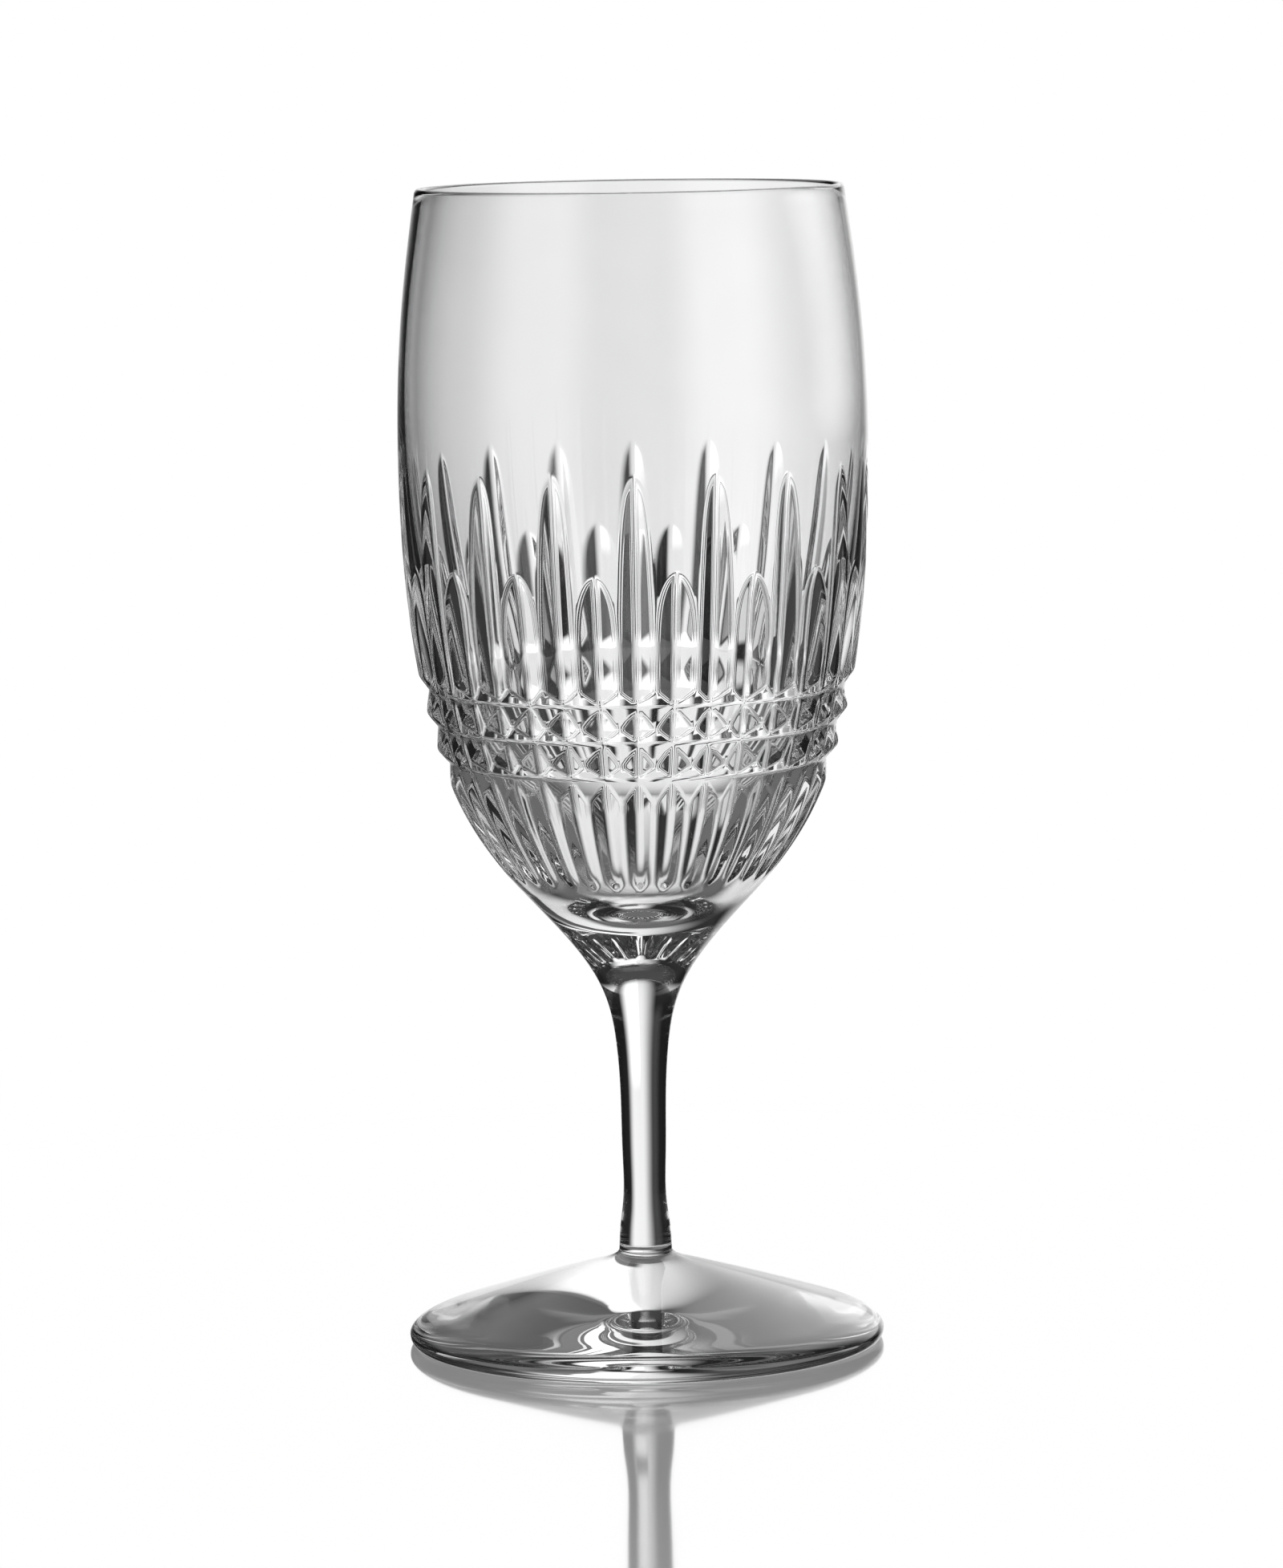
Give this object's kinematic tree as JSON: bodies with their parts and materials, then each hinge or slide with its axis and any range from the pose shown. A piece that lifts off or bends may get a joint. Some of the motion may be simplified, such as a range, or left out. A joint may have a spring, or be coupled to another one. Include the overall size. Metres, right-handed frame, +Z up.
{
  "type": "stemmed glass",
  "caption": "Tall stemmed drinking glass of clear cut crystal: a tulip bowl with mitre-cut flutes and a band of diamonds, a slim drawn stem and a round foot.",
  "frame": {"origin": "middle of the foot's underside, in the plane that the glass stands on", "axes": "+Z up along the stem; a tall groove of the cut pattern faces -Y"},
  "size_m": [0.0844, 0.0844, 0.205],
  "materials": {
    "crystal": "clear colourless crystal, polished, with bright mitre cuts on the bowl"
  },
  "bodies": {
    "root": {"bowl": "crystal", "stem": "crystal", "foot": "crystal"}
  },
  "joints": []
}
